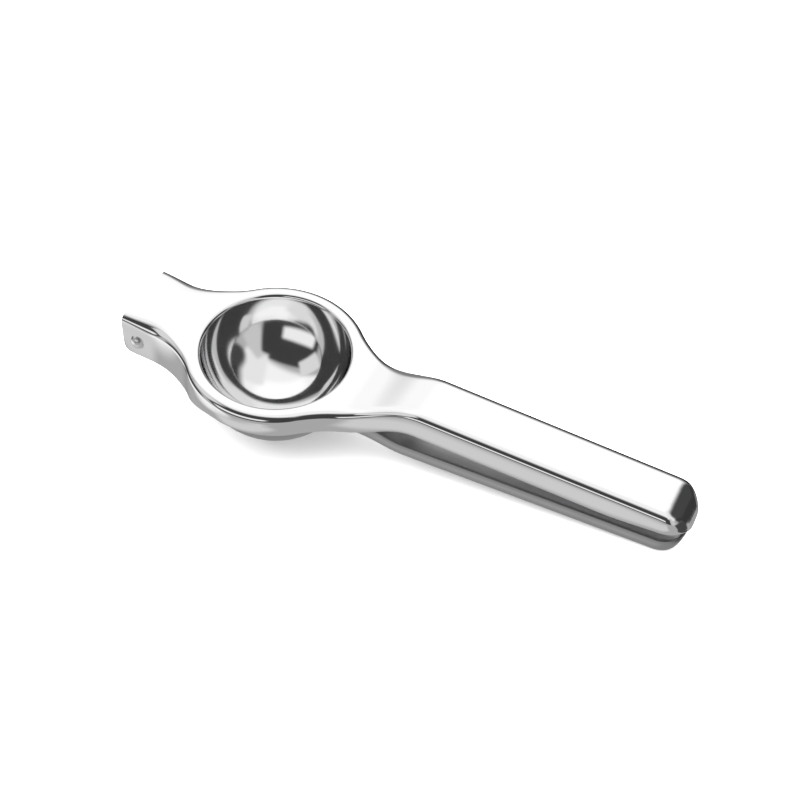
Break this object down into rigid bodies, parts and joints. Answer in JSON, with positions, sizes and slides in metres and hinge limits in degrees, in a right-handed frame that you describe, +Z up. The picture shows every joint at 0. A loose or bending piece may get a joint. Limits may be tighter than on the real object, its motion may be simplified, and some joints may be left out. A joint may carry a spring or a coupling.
{
  "type": "citrus squeezer",
  "caption": "Hand-held hinged citrus squeezer of polished sheet steel, with a pressing dome, a perforated bowl and channel-shaped handles.",
  "frame": {"origin": "centre of the footprint under the closed squeezer, lying on its bowl and the tip of its lower handle", "axes": "+X from the hinge towards the handle tips, +Y across the handles, +Z up"},
  "size_m": [0.2148, 0.066, 0.0442],
  "materials": {
    "polished_steel": "mirror polished stainless steel",
    "satin_steel": "satin stainless steel with fine lengthwise grain",
    "rivet_steel": "polished rivet head",
    "sleeve_steel": "turned, unpolished"
  },
  "bodies": {
    "lower": {"lower_bowl": "satin_steel", "lower_handle": "satin_steel"},
    "upper": {"upper_press": "polished_steel", "upper_handle": "polished_steel", "pivot_rivet": "rivet_steel", "pivot_sleeve": "sleeve_steel"}
  },
  "joints": [
    {"name": "press_hinge", "type": "hinge", "parent": "lower", "child": "upper", "pos_m": [-0.10049, 0, 0.03304], "axis": [0, -1, 0], "range_deg": [0, 150]}
  ]
}
